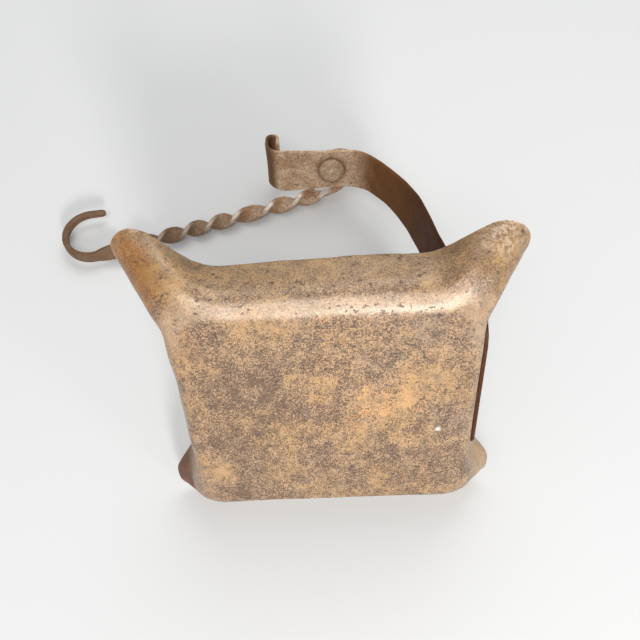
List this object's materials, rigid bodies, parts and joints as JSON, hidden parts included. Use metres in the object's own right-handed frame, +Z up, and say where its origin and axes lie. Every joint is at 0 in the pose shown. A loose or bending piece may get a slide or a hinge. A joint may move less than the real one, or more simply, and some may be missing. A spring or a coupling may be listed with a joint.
{
  "type": "crusie lamp",
  "caption": "Square open iron oil lamp with a wick spout at each corner, a flat arched stem riveted to one side, and a twisted hook on a swivel, lying folded on its side.",
  "frame": {"origin": "middle of the outside of the pan's base, with the lamp lying on its side on two spouts", "axes": "+X towards the side that carries the stem, +Z up from the surface that the lamp lies on, +Y away from the pan's base towards the swivel"},
  "size_m": [0.1916, 0.1767, 0.1272],
  "materials": {
    "pan_iron": "rusted and pitted",
    "strap_iron": "rusted, worn smooth",
    "rivet_iron": "rusted",
    "hanger_iron": "rusted, with rubbed bright edges"
  },
  "bodies": {
    "frame": {"pan": "pan_iron", "stem": "strap_iron", "stem_rivets": "rivet_iron"},
    "swivel": {"swivel_pin": "rivet_iron"},
    "hanger": {"hanger": "hanger_iron"}
  },
  "joints": [
    {"name": "swivel_spin", "type": "hinge", "parent": "frame", "child": "swivel", "pos_m": [0.00445, 0.14234, -0.0457], "axis": [0, -0.9521, 0.3057], "range_deg": [0, 180]},
    {"name": "hanger_swing", "type": "hinge", "parent": "swivel", "child": "hanger", "pos_m": [0.00885, 0.15224, -0.04888], "axis": [0, -0.3057, -0.9521], "range_deg": [0, 195]}
  ]
}
